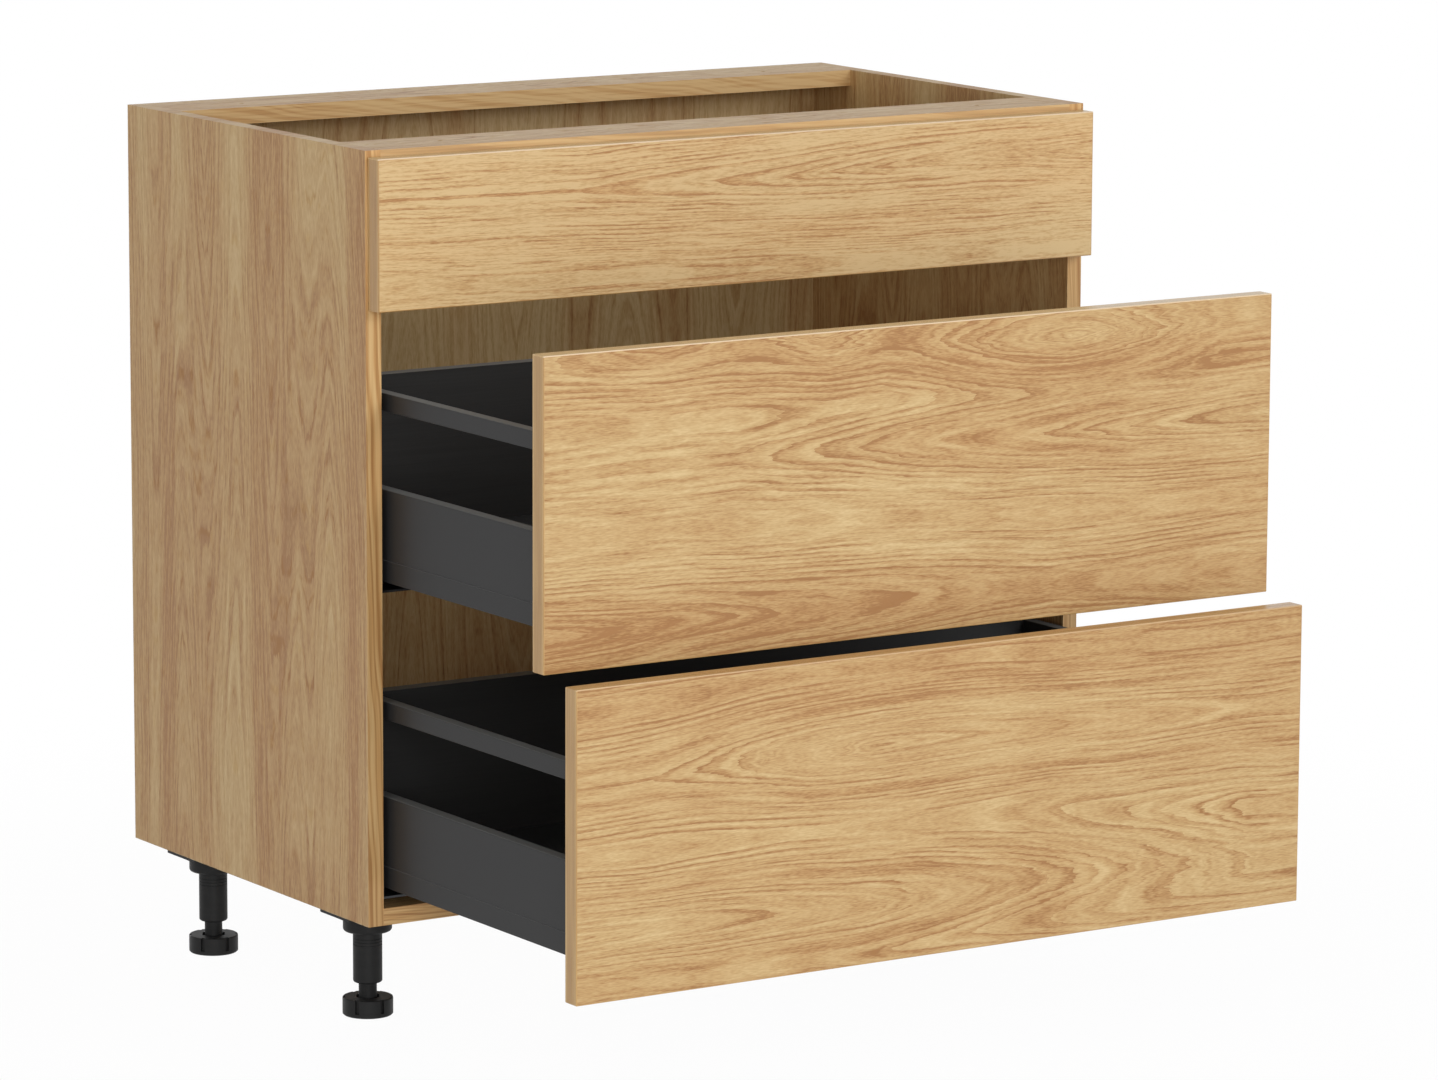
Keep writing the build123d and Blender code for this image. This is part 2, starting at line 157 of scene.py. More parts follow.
class Graph:
    """A node tree that is filled through one method for nodes and through wires for sums."""

    def __init__(self, tree: bpy.types.NodeTree) -> None:
        """Keep the tree to fill."""
        self.tree = tree

    def feed(self, socket: bpy.types.NodeSocket, value: Any) -> None:
        """Set a socket to a value, or link a wire or several wires to it."""
        if isinstance(value, Wire):
            self.tree.links.new(value.socket, socket)
        elif isinstance(value, list):
            for wire in value:
                self.tree.links.new(wire.socket, socket)
        else:
            socket.default_value = value

    def node(self, kind: str, settings: dict[str, Any] | None = None, inputs: Sockets | None = None) -> bpy.types.Node:
        """Add a node, settings first, then its sockets.

        Args:
            kind: Blender's type name of the node.
            settings: properties of the node; "stops" holds a colour ramp's places and colours.
            inputs: values or wires by socket name or number.

        Returns:
            The node.
        """
        made = self.tree.nodes.new(kind)
        for name, value in (settings or {}).items():
            if name == "stops":
                elements = made.color_ramp.elements
                while len(elements) < len(value):
                    elements.new(1.0)
                for element, (place, colour) in zip(elements, value):
                    element.position = place
                    element.color = colour
            else:
                setattr(made, name, value)
        for key, value in (inputs or {}).items():
            self.feed(made.inputs[key], value)
        return made

    def out(self, kind: str, settings: dict[str, Any] | None = None, inputs: Sockets | None = None,
            output: str | int = 0) -> Wire:
        """Add a node and return one of its outputs as a wire."""
        return Wire(self, self.node(kind, settings, inputs).outputs[output])

    def math(self, operation: str, first: Value, second: Value | None = None) -> Wire:
        """Add a Math node on one or two values."""
        inputs: Sockets = {0: first}
        if second is not None:
            inputs[1] = second
        return self.out("ShaderNodeMath", {"operation": operation}, inputs)

    def vector(self, x: Value, y: Value, z: Value) -> Wire:
        """Three values as one vector."""
        return self.out("ShaderNodeCombineXYZ", inputs={0: x, 1: y, 2: z})

    def to_eye(self) -> Wire:
        """One on rays that the eye, a reflection or a look through glass follows, else zero."""
        path = self.node("ShaderNodeLightPath")
        seen = [Wire(self, path.outputs[f"Is {ray} Ray"]) for ray in ("Camera", "Glossy", "Transmission")]
        return seen[0].at_least(seen[1]).at_least(seen[2])


class Paint(Graph):
    """The node tree of one material, with the textures that the finishes share."""

    def __init__(self, name: str) -> None:
        """Make an empty material of that name."""
        self.material = bpy.data.materials.new(name)
        self.material.use_nodes = True
        super().__init__(self.material.node_tree)
        self.tree.nodes.clear()

    def place(self) -> Axes:
        """Object coordinates as three wires."""
        spot = self.out("ShaderNodeTexCoord", output="Object")
        split = self.node("ShaderNodeSeparateXYZ", inputs={0: spot})
        return Wire(self, split.outputs[0]), Wire(self, split.outputs[1]), Wire(self, split.outputs[2])

    def rise(self) -> Wire:
        """How far the surface faces up, from minus one to one."""
        facing = self.out("ShaderNodeTexCoord", output="Normal")
        return self.out("ShaderNodeSeparateXYZ", inputs={0: facing}, output=2)

    def noise(self, x: Value, y: Value, z: Value, detail: float = 0.0, rough: float = 0.5) -> Wire:
        """Smooth noise from zero to one at a point that is already scaled."""
        inputs = {"Vector": self.vector(x, y, z), "Scale": 1.0, "Detail": detail, "Roughness": rough}
        return self.out("ShaderNodeTexNoise", {"noise_dimensions": "3D"}, inputs)

    def line_noise(self, place: Wire, detail: float = 0.0, rough: float = 0.5) -> Wire:
        """Smooth noise from zero to one along one value."""
        inputs = {"W": place, "Scale": 1.0, "Detail": detail, "Roughness": rough}
        return self.out("ShaderNodeTexNoise", {"noise_dimensions": "1D"}, inputs)

    def cells(self, x: Value, y: Value, z: Value) -> Wire:
        """Random value from zero to one for each small cell, at a point that is already scaled."""
        inputs = {"Vector": self.vector(x, y, z), "Scale": 1.0}
        return self.out("ShaderNodeSeparateColor", inputs={
            0: self.out("ShaderNodeTexVoronoi", {"feature": "F1"}, inputs, "Color")})

    def mix(self, share: Value, first: Wire | Colour, second: Wire | Colour) -> Wire:
        """Mix two colours by a share."""
        settings = {"data_type": "RGBA", "clamp_factor": True}
        return self.out("ShaderNodeMix", settings, {0: share, 6: first, 7: second}, 2)

    def ramp(self, share: Wire, stops: list[tuple[float, Colour]]) -> Wire:
        """Colour from a list of places and colours."""
        return self.out("ShaderNodeValToRGB", {"stops": stops}, {0: share})

    def finish(self, colour: Wire, roughness: Value, metallic: Value = 0.0, height: Wire | None = None,
               depth: float = 0.0002, specular: float = 0.5) -> bpy.types.Material:
        """Join the parts into one surface.

        Args:
            colour: base colour.
            roughness: roughness.
            metallic: metallic share.
            height: height from zero to one for a bump, or None.
            depth: how high one is, in metres.
            specular: strength of the plain reflection.

        Returns:
            The finished material.
        """
        inputs: Sockets = {"Base Color": colour, "Roughness": roughness, "Metallic": metallic,
                           "Specular IOR Level": specular}
        if height is not None:
            inputs["Normal"] = self.out("ShaderNodeBump", inputs={"Strength": 1.0, "Distance": depth, "Height": height})
        shader = self.out("ShaderNodeBsdfPrincipled", inputs=inputs)
        self.node("ShaderNodeOutputMaterial", inputs={0: shader})
        return self.material


class Grain(Enum):
    """Direction of the wood grain: numbers of the axes along it and across it on the wide face."""

    ALONG_X_UPRIGHT = (0, 2)
    ALONG_X_FLAT = (0, 1)
    ALONG_Z_ON_SIDE = (2, 1)
    ALONG_Z_ON_BACK = (2, 0)


@dataclass(frozen=True)
class Flame:
    """Heart of one flame or loop in the grain.

    The rings rise from the heart with these slopes to its two ends, faster with distance by the swell, and
    run straight on where they reach the cap. A slope of nought leaves that end open.
    """

    along: float
    across: float
    before: float
    after: float
    cap: float = 0.06
    swell: float = 0.0


@dataclass(frozen=True)
class Band:
    """Darker stretch of grain along the board, with soft edges."""

    across: float
    half: float
    amount: float


# How tightly neighbouring hearts join, how square a heart is, and where bare board begins.
HEART_BLEND = 70.0
HEART_CORNER = 0.35
BACK_BOARD_REAR = 0.4085
SIDE_PANEL_REAR = 0.4095
SIDE_PANEL_FOOT = 0.1005


@dataclass(frozen=True)
class WoodDecor:
    """Printed hickory decor with growth rings, fine lines along them, fibres and pores.

    The noises are scaled in waves per metre, along the grain and across it or across the rings.
    """

    name: str
    grain: Grain
    flames: tuple[Flame, ...]
    seed: float = 0.0
    pitch: float = 0.0046
    rings_share: float = 1.0
    zone_share: float = 1.0
    fine_share: float = 1.0
    shade: float = 0.44
    warmth: float = 0.25
    tint: tuple[int, int, int] = (202, 146, 92)
    rough: float = 0.46
    bands: tuple[Band, ...] = ()
    accents: tuple[float, ...] = ()
    backed: bool = False
    raw_edges: bool = False

    def distance(self, paint: Paint, along: Wire, across: Wire) -> Wire:
        """Distance from the hearts of the flames at each point of the face, in metres.

        Args:
            paint: material to fill.
            along: place along the grain.
            across: place across the grain.

        Returns:
            The distance, whose level lines are the growth rings.
        """
        seed = self.seed
        bend = paint.noise(along * 1.6, across * 5.0, seed) - 0.5
        wave = paint.noise(along * 7.0, across * 16.0, seed + 3.1, 1.0) - 0.5
        tooth = paint.noise(along * 14.0, across * 150.0, seed + 5.7, 2.0, 0.6) - 0.5
        side = across + bend * 0.030 + wave * 0.010
        run = along + tooth * 0.048
        total: Wire | None = None
        for flame in self.flames:
            ahead = run - flame.along
            slope = (-ahead).at_least(0.0) * flame.before + ahead.at_least(0.0) * flame.after
            slope = (slope * (1.0 + abs(ahead) * flame.swell)).at_most(flame.cap)
            off = side - flame.across
            reach = (off * off + slope * slope + abs(off) * slope * HEART_CORNER).root()
            share = (reach * -HEART_BLEND).exp()
            total = share if total is None else total + share
        return total.log() * (-1.0 / HEART_BLEND)

    def material(self) -> bpy.types.Material:
        """Build the material.

        Returns:
            The finished material.
        """
        paint = Paint(self.name)
        axes = paint.place()
        along, across = axes[self.grain.value[0]], axes[self.grain.value[1]]
        seed = self.seed
        ring = self.distance(paint, along, across)
        uneven = paint.line_noise(ring * 50.0 + seed * 7.3, 1.0) - 0.5
        saw = (ring / self.pitch + uneven * 3.0).fraction()
        patch = paint.noise(along * 7.0, ring * 80.0, seed + 2.0, 1.0)
        shown = patch.step(0.30, 0.66)
        for accent in self.accents:
            shown = shown.at_least(abs(ring - accent).step(0.0060, 0.0020) * patch.step(0.20, 0.50))
        late = saw.step(0.35, 1.0) * shown * ring.step(0.001, 0.014)
        fine = (paint.noise(along * 14.0, ring * 430.0, seed + 17.0, 2.0, 0.68) - 0.5) * self.fine_share
        vein = paint.noise(along * 4.0, ring * 300.0, seed + 31.0, 1.0).step(0.60, 0.72)
        fibre = (paint.noise(along * 150.0, across * 1100.0, seed + 23.0, 1.0) - 0.5) * self.fine_share
        pores = paint.noise(along * 60.0, ring * 1300.0, seed + 29.0).step(0.58, 0.78)
        zone = paint.noise(along * 1.5, ring * 26.0, seed + 11.0, 1.0) - 0.5
        tone = self.shade + late * (0.47 * self.rings_share) + zone * (0.58 * self.zone_share)
        tone = tone + fine * 1.35 + vein * (0.18 * self.fine_share) + fibre * 0.90
        tone = tone + pores * (0.08 * self.fine_share + late * 0.16)
        warm = zone * 1.2 + self.warmth + late * 0.25
        for band in self.bands:
            share = abs(across - band.across).step(band.half * 1.25, band.half * 0.75) * band.amount
            tone = tone + share
            warm = warm + share * 1.5
        colour = paint.ramp(tone, [
            (0.00, srgb(221, 194, 143)),
            (0.25, srgb(211, 181, 129)),
            (0.50, srgb(200, 165, 113)),
            (0.75, srgb(186, 146, 95)),
            (1.00, srgb(160, 115, 68)),
        ])
        colour = paint.mix(warm.at_least(0.0).at_most(1.0) * 0.26, colour, srgb(*self.tint))
        rough = self.rough + fine * 0.10 + pores * 0.18
        height = 1.0 - pores * 0.8 - late * 0.25 + fine * 0.4
        if self.backed:
            bare, core = self.hardboard(paint, axes)
            colour, rough = paint.mix(bare, colour, core), rough + bare * 0.25
        if self.raw_edges:
            bare, core = self.chipboard(paint, axes)
            colour, rough = paint.mix(bare, colour, core), rough + bare * 0.3
        return paint.finish(colour, rough, height=height, depth=0.00012)

    @staticmethod
    def hardboard(paint: Paint, axes: Axes) -> tuple[Wire, Wire]:
        """Bare brown fibre on the rear face of the back board.

        Args:
            paint: material to fill.
            axes: object coordinates.

        Returns:
            One on the bare face, and the colour of the fibre.
        """
        x, y, z = axes
        fibre = paint.noise(x * 170.0, y * 170.0, z * 170.0, 4.0, 0.72)
        cloud = paint.noise(x * 9.0, y * 9.0, z * 9.0, 2.0)
        upright = paint.noise(x * 420.0, y * 90.0, z * 90.0, 1.0)
        level = paint.noise(x * 90.0, y * 90.0, z * 420.0, 1.0)
        tone = fibre * 0.75 + cloud * 0.25 - upright.at_least(level).step(0.62, 0.74) * 0.16
        brown = paint.ramp(tone, [
            (0.22, srgb(120, 86, 58)), (0.52, srgb(160, 122, 86)), (0.80, srgb(194, 158, 118))])
        return y.above(BACK_BOARD_REAR), brown

    @staticmethod
    def chipboard(paint: Paint, axes: Axes) -> tuple[Wire, Wire]:
        """Bare pressed chips on the rear and lower edges of a side panel.

        Args:
            paint: material to fill.
            axes: object coordinates.

        Returns:
            One on the bare edges, and the colour of the chips.
        """
        x, y, z = axes
        chips = paint.ramp(paint.cells(x * 420.0, y * 180.0, z * 180.0), [
            (0.0, srgb(150, 118, 82)), (0.5, srgb(189, 158, 118)), (1.0, srgb(217, 192, 154))])
        return y.above(SIDE_PANEL_REAR).at_least((-z).above(-SIDE_PANEL_FOOT)), chips


@dataclass(frozen=True)
class FrontEdging:
    """Edge band round a front: fine lines along every edge, glue lines, and a painted highlight that pales the top edge
    and its front arris.
    """

    name: str
    back: float
    front: float
    top: float
    shade: float = 0.58
    painted_top_light: float = 0.0
    rim: float = 0.0012

    def material(self) -> bpy.types.Material:
        """Build the material.

        Returns:
            The finished material.
        """
        paint = Paint(self.name)
        x, y, z = paint.place()
        depth = (y - self.front) / (self.back - self.front)
        lines = paint.noise(x * 5.0, y * 900.0, z * 5.0, 2.0, 0.6) - 0.5
        cloud = paint.noise(x * 14.0, y * 120.0, z * 14.0, 1.0) - 0.5
        seam = depth.step(0.20, 0.10) * depth.step(0.02, 0.08) + depth.step(0.80, 0.90) * depth.step(0.98, 0.92)
        # Painted highlight: the band is painted paler along the top edge, as if light caught it.
        upper = z.above(self.top - self.rim)
        tone = self.shade + lines * 0.55 + cloud * 0.5 - seam * 0.30 - upper * self.painted_top_light
        colour = paint.ramp(tone, [
            (0.0, srgb(224, 189, 130)), (0.45, srgb(204, 164, 105)), (1.0, srgb(168, 121, 69))])
        # Painted highlight: the front arris of the top edge is painted near white.
        arris_highlight = depth.step(0.10, 0.0) * upper * (0.3 + self.painted_top_light)
        colour = paint.mix(arris_highlight, colour, srgb(240, 218, 188))
        return paint.finish(colour, 0.28 + lines * 0.1, height=lines + 0.5, depth=0.00004)


@dataclass(frozen=True)
class CarcassEdging:
    """Edge bands of the carcass: decor grain along each band, with slanted flames, and the rear rail's edge painted
    lighter to stand in for light.
    """

    name: str
    inner: float
    seed: float
    rear_from: float = 0.2
    rails_from: float = 0.5

    def material(self) -> bpy.types.Material:
        """Build the material.

        Returns:
            The finished material.
        """
        paint = Paint(self.name)
        x, y, z = paint.place()
        upright = abs(x).above(self.inner)
        along = x + (z - x) * upright
        across = z + (x - z) * upright
        rear = y.above(self.rear_from)
        slant = across + along * (0.045 + rear * 0.12)
        bend = paint.noise(along * 9.0, across * 30.0, self.seed, 1.0) - 0.5
        late = paint.line_noise((slant + bend * 0.012) * 210.0, 1.0, 0.6).step(0.40, 0.64)
        streak = paint.noise(along * 9.0, across * 420.0, self.seed + 4.0, 3.0, 0.62) - 0.5
        zone = paint.noise(along * 5.0, across * 20.0, self.seed + 8.0, 1.0) - 0.5
        # On the rear rail's edge the flames slant more and are weaker, and its tone is painted lighter to stand in for
        # the light that edge lacks.
        tone = 0.15 - rear * 0.12 + late * (0.52 - rear * 0.20) + streak * (1.4 - upright * 0.6) + zone * 0.7
        colour = paint.ramp(tone, [
            (0.0, srgb(225, 188, 132)), (0.45, srgb(206, 160, 102)), (1.0, srgb(162, 110, 60))])
        pale = (1.0 - upright) * (1.0 - rear) * z.above(self.rails_from)
        colour = paint.mix(pale * 0.45, colour, srgb(210, 180, 132))
        return paint.finish(colour, 0.45 + streak * 0.1, height=streak + 0.5, depth=0.00008)


# Grey of the painted top light on the upward faces of coat and foil.
TOP_LIGHT_GREY = srgb(150, 152, 150)


@dataclass(frozen=True)
class PowderCoat:
    """Satin powder coat on sheet steel or aluminium: fine orange peel, with painted top light that makes the upward
    faces paler.
    """

    name: str
    grey: float
    rough: float = 0.42
    specular: float = 0.5
    painted_top_light: float = 0.4

    def material(self) -> bpy.types.Material:
        """Build the material.

        Returns:
            The finished material.
        """
        paint = Paint(self.name)
        x, y, z = paint.place()
        peel = paint.noise(x * 1300.0, y * 1300.0, z * 1300.0, 2.0)
        cloud = paint.noise(x * 7.0, y * 7.0, z * 7.0, 2.0) - 0.5
        speck = paint.noise(x * 2600.0, y * 2600.0, z * 2600.0).step(0.62, 0.78)
        dark, light = self.grey - 5.0, self.grey + 6.0
        tone = 0.5 + cloud * 0.5 + (peel - 0.5) * 0.6 + speck * 0.25
        colour = paint.ramp(tone, [
            (0.15, srgb(dark, dark, dark)), (0.85, srgb(light, light, light + 1.0))])
        # Painted top light: upward faces are painted paler grey and made rougher, as if lit from above.
        painted_top_light = paint.rise().step(0.5, 0.9)
        colour = paint.mix(painted_top_light * self.painted_top_light, colour, TOP_LIGHT_GREY)
        rough = self.rough + (peel - 0.5) * 0.12 + cloud * 0.06 + painted_top_light * 0.2
        return paint.finish(colour, rough, height=peel, depth=0.00002, specular=self.specular)


@dataclass(frozen=True)
class MouldedPlastic:
    """Matt moulded plastic with spark-eroded grain and lighter rubbed patches."""

    name: str
    grey: float
    rough: float = 0.55
    specular: float = 0.3

    def material(self) -> bpy.types.Material:
        """Build the material.

        Returns:
            The finished material.
        """
        paint = Paint(self.name)
        x, y, z = paint.place()
        pits = paint.noise(x * 1700.0, y * 1700.0, z * 1700.0, 2.0, 0.6)
        rub = paint.noise(x * 60.0, y * 60.0, z * 60.0, 3.0, 0.6) - 0.5
        flow = paint.noise(x * 30.0, y * 30.0, z * 300.0, 1.0) - 0.5
        dark, light = self.grey - 6.0, self.grey + 9.0
        tone = 0.45 + rub * 0.7 + flow * 0.35 + (pits - 0.5) * 0.5
        colour = paint.ramp(tone, [
            (0.1, srgb(dark, dark, dark)), (0.9, srgb(light, light, light))])
        rough = self.rough + rub * 0.18 + (pits - 0.5) * 0.12
        return paint.finish(colour, rough, height=pits, depth=0.00004, specular=self.specular)


@dataclass(frozen=True)
class DarkFoil:
    """Dark foil on the drawer boards, with a fine linear print and, where asked, painted top light on upward faces."""

    name: str
    grey: float
    across: int
    painted_top_light: float = 0.0

    def material(self) -> bpy.types.Material:
        """Build the material.

        Returns:
            The finished material.
        """
        paint = Paint(self.name)
        axes = paint.place()
        others = [axes[i] for i in range(3) if i != self.across]
        lines = paint.noise(others[0] * 9.0, others[1] * 9.0, axes[self.across] * 700.0, 3.0, 0.6) - 0.5
        grain = paint.noise(axes[0] * 1100.0, axes[1] * 1100.0, axes[2] * 1100.0, 1.0) - 0.5
        dark, light = self.grey - 7.0, self.grey + 9.0
        colour = paint.ramp(0.5 + lines * 0.9 + grain * 0.4, [
            (0.1, srgb(dark, dark, dark)), (0.9, srgb(light, light, light))])
        # Painted top light: upward faces are painted paler, as if lit from above.
        if self.painted_top_light:
            colour = paint.mix(paint.rise().step(0.5, 0.9) * self.painted_top_light, colour, TOP_LIGHT_GREY)
        return paint.finish(colour, 0.5 + lines * 0.15, height=grain + 0.5, depth=0.00003, specular=0.35)


@dataclass(frozen=True)
class PlatedSteel:
    """Zinc-plated or galvanised steel: faint crystals, rolling lines and dull patches."""

    name: str
    colour: tuple[float, float, float]
    crystal: float
    rough: float = 0.36

    def material(self) -> bpy.types.Material:
        """Build the material.

        Returns:
            The finished material.
        """
        paint = Paint(self.name)
        x, y, z = paint.place()
        size = self.crystal
        tint = paint.cells(x * size, y * size, z * size) - 0.5
        roll = paint.noise(x * 1500.0, y * 12.0, z * 1500.0, 2.0) - 0.5
        dull = paint.noise(x * 25.0, y * 25.0, z * 25.0, 3.0, 0.6) - 0.5
        red, green, blue = self.colour
        tone = 0.5 + tint * 0.35 + roll * 0.35 + dull * 0.7
        colour = paint.ramp(tone, [
            (0.1, srgb(red * 0.80, green * 0.80, blue * 0.80)), (0.9, srgb(red * 1.08, green * 1.08, blue * 1.08))])
        rough = self.rough + tint * 0.10 + dull * 0.25
        return paint.finish(colour, rough, 1.0, roll + 0.5, 0.00001)


@dataclass(frozen=True)
class TurnedBeech:
    """Beech of the dowels: short darker flecks along the rod."""

    name: str

    def material(self) -> bpy.types.Material:
        """Build the material.

        Returns:
            The finished material.
        """
        paint = Paint(self.name)
        x, y, z = paint.place()
        fleck = paint.noise(x * 300.0, y * 1500.0, z * 1500.0, 2.0)
        band = paint.noise(x * 20.0, y * 300.0, z * 300.0, 1.0)
        colour = paint.ramp(fleck * 0.6 + band * 0.4, [
            (0.3, srgb(190, 145, 104)), (0.55, srgb(214, 174, 132)), (0.8, srgb(228, 194, 156))])
        return paint.finish(colour, 0.6 + (fleck - 0.5) * 0.2, height=fleck, depth=0.00005)


ZINC = PlatedSteel("zinc_bright", (196, 199, 203), crystal=500.0)
GALVANISED = PlatedSteel("steel_galvanised", (172, 175, 178), crystal=160.0, rough=0.42)
BLACKENED = PlatedSteel("steel_blackened", (74, 75, 77), crystal=160.0, rough=0.46)
# The anthracite coat takes the default painted top light on its upward faces.
ANTHRACITE = PowderCoat("coat_anthracite", grey=45.0, rough=0.40, specular=0.17)
GREY_PLASTIC = MouldedPlastic("plastic_grey", grey=66.0, rough=0.50)
BLACK_PLASTIC = MouldedPlastic("plastic_black", grey=32.0, rough=0.50, specular=0.16)
BOTTOM_FOIL = DarkFoil("foil_bottom", grey=38.0, across=1)
# The drawer backs get painted top light on their upper edges.
BACK_FOIL = DarkFoil("foil_back", grey=31.0, across=2, painted_top_light=0.4)


class Tree:
    """A Geometry Nodes tree with named inputs, set on a carrier mesh of points that know where they face."""

    def __init__(self, name: str, sizes: dict[str, float]) -> None:
        """Make a tree with a geometry input, a float input for each size and a material input.

        Args:
            name: name of the tree.
            sizes: named sizes and their values in metres or as counts.
        """
        self.tree = bpy.data.node_groups.new(name, "GeometryNodeTree")
        face = self.tree.interface
        face.new_socket("Points", in_out="INPUT", socket_type="NodeSocketGeometry")
        self.values: dict[str, Any] = {}
        for size, value in sizes.items():
            socket = face.new_socket(size, in_out="INPUT", socket_type="NodeSocketFloat")
            self.values[socket.identifier] = float(value)
        self.finish = face.new_socket("Material", in_out="INPUT", socket_type="NodeSocketMaterial").identifier
        face.new_socket("Geometry", in_out="OUTPUT", socket_type="NodeSocketGeometry")
        self.graph = Graph(self.tree)
        self.entry = self.graph.node("NodeGroupInput")

    def size(self, name: str) -> Wire:
        """Wire of a named input."""
        return Wire(self.graph, self.entry.outputs[name])

    def moved(self, part: Wire, at: Place) -> Wire:
        """Move a part to a place."""
        inputs = {"Geometry": part, "Translation": self.graph.vector(*at)}
        return self.graph.out("GeometryNodeTransform", inputs=inputs)

    def shape(self, kind: str, inputs: Sockets, at: Place = (0.0, 0.0, 0.0)) -> Wire:
        """Add a mesh primitive and move it."""
        return self.moved(self.graph.out(kind, inputs=inputs), at)

    def block(self, x: Value, y: Value, z: Value, at: Place = (0.0, 0.0, 0.0)) -> Wire:
        """Add a box of these sizes with its middle at a place."""
        return self.shape("GeometryNodeMeshCube", {"Size": self.graph.vector(x, y, z)}, at)

    def less(self, body: Wire, tools: list[Wire]) -> Wire:
        """Take tools out of a body."""
        settings = {"operation": "DIFFERENCE", "solver": "EXACT"}
        return self.graph.out("GeometryNodeMeshBoolean", settings, {"Mesh 1": body, "Mesh 2": tools})

    def thread(self, radius: Value, height: Value, turns: Value, ridge: Value, at: Place) -> Wire:
        """Add a screw thread as a ridge wound upwards.

        Args:
            radius: radius of the rod.
            height: length of the thread.
            turns: number of turns.
            ridge: height of the ridge.
            at: lower end of the thread.

        Returns:
            The ridge as a mesh.
        """
        coil = self.graph.out("GeometryNodeCurveSpiral", inputs={
            "Resolution": 20, "Rotations": turns, "Start Radius": radius, "End Radius": radius, "Height": height})
        edge = self.graph.out("GeometryNodeCurvePrimitiveCircle", inputs={"Resolution": 4, "Radius": ridge})
        made = self.graph.out("GeometryNodeCurveToMesh", inputs={
            "Curve": coil, "Profile Curve": edge, "Fill Caps": True})
        return self.moved(made, at)

    def close(self, parts: list[Wire]) -> None:
        """Join the parts, set them on the points and end the tree.

        Args:
            parts: meshes of one copy, drawn facing up from the point.
        """
        graph = self.graph
        joined = graph.out("GeometryNodeJoinGeometry", inputs={0: parts})
        facing = graph.out("GeometryNodeInputNamedAttribute", {"data_type": "FLOAT_VECTOR"}, {"Name": "facing"})
        turn = graph.out("FunctionNodeAlignRotationToVector", {"axis": "Z"}, {"Vector": facing})
        copies = graph.out("GeometryNodeInstanceOnPoints", inputs={
            "Points": self.size("Points"), "Instance": joined, "Rotation": turn})
        real = graph.out("GeometryNodeRealizeInstances", inputs={0: copies})
        painted = graph.out("GeometryNodeSetMaterial", inputs={"Geometry": real, "Material": self.size("Material")})
        graph.node("NodeGroupOutput", inputs={0: painted})

    def grow(self, name: str, body: str, spots: Iterable[Spot], material: bpy.types.Material) -> bpy.types.Object:
        """Set the copies on their spots as one plain mesh.

        Args:
            name: name of the piece.
            body: CAD body that it rides on.
            spots: points and the directions they face.
            material: finish of the copies.

        Returns:
            The piece.
        """
        spots = list(spots)
        carrier = bpy.data.meshes.new(name + "_points")
        carrier.from_pydata([point for point, _ in spots], [], [])
        facing = carrier.attributes.new("facing", "FLOAT_VECTOR", "POINT")
        facing.data.foreach_set("vector", [v for _, way in spots for v in way])
        holder = bpy.data.objects.new(name + "_points", carrier)
        bpy.context.scene.collection.objects.link(holder)
        modifier = holder.modifiers.new("copies", "NODES")
        modifier.node_group = self.tree
        for identifier, value in self.values.items():
            modifier[identifier] = value
        modifier[self.finish] = material
        view = bpy.context.evaluated_depsgraph_get()
        mesh = bpy.data.meshes.new_from_object(holder.evaluated_get(view))
        holder.modifiers.remove(modifier)
        bpy.data.objects.remove(holder)
        mesh.name = name
        piece = bpy.data.objects.new(name, mesh)
        bpy.context.scene.collection.objects.link(piece)
        mesh.materials.clear()
        mesh.materials.append(material)
        mesh.polygons.foreach_set("material_index", [0] * len(mesh.polygons))
        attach(piece, body)
        log.info("%s: %d faces on %s", name, len(mesh.polygons), body)
        return piece


@dataclass
class Shop:
    """All finishes, each built once."""

    made: dict[str, bpy.types.Material] = field(default_factory=dict)

    def get(self, finish: Any) -> bpy.types.Material:
        """Material of a finish, built on first use."""
        if finish.name not in self.made:
            self.made[finish.name] = finish.material()
        return self.made[finish.name]

    def dress(self, finish: Any, *nodes: str) -> None:
        """Give CAD nodes a finish through their material slots."""
        material = self.get(finish)
        for node in nodes:
            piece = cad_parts[node]
            for slot in piece.material_slots:
                slot.material = material
            log.info("%s: %s", node, material.name)


FASCIA_FLAMES = (
    Flame(0.56, 0.772, 0.038, 0.0, 0.028),
    Flame(0.10, 0.600, 0.0, 0.010),
    Flame(-0.20, 0.900, 0.010, 0.0),
)
FASCIA_BANDS = (Band(0.702, 0.030, 0.05),)
UPPER_FLAMES = (
    Flame(0.50, 0.560, 0.072, 0.0, 0.050),
    Flame(0.172, 0.655, 0.19, 0.24, 0.040),
    Flame(-0.105, 0.682, 0.45, 0.50, 0.050),
    Flame(-0.275, 0.690, 0.40, 0.40, 0.050),
    Flame(-0.52, 0.426, 0.0, 0.075, 0.050),
    Flame(0.95, 0.412, 0.060, 0.0, 0.048),
)
UPPER_BANDS = (Band(0.622, 0.017, 0.13), Band(0.404, 0.020, 0.12))
LOWER_FLAMES = (
    Flame(-0.080, 0.294, 0.19, 0.06, 0.045),
    Flame(-0.46, 0.157, 0.0, 0.030, 0.070, 2.4),
    Flame(0.62, 0.297, 0.12, 0.0, 0.036),
    Flame(0.60, 0.060, 0.010, 0.0),
    Flame(0.05, 0.440, 0.01, 0.01),
)
LOWER_BANDS = (Band(0.385, 0.045, 0.18),)
SIDE_BANDS = (Band(0.335, 0.014, 0.15), Band(0.134, 0.034, 0.10), Band(-0.030, 0.018, 0.15))
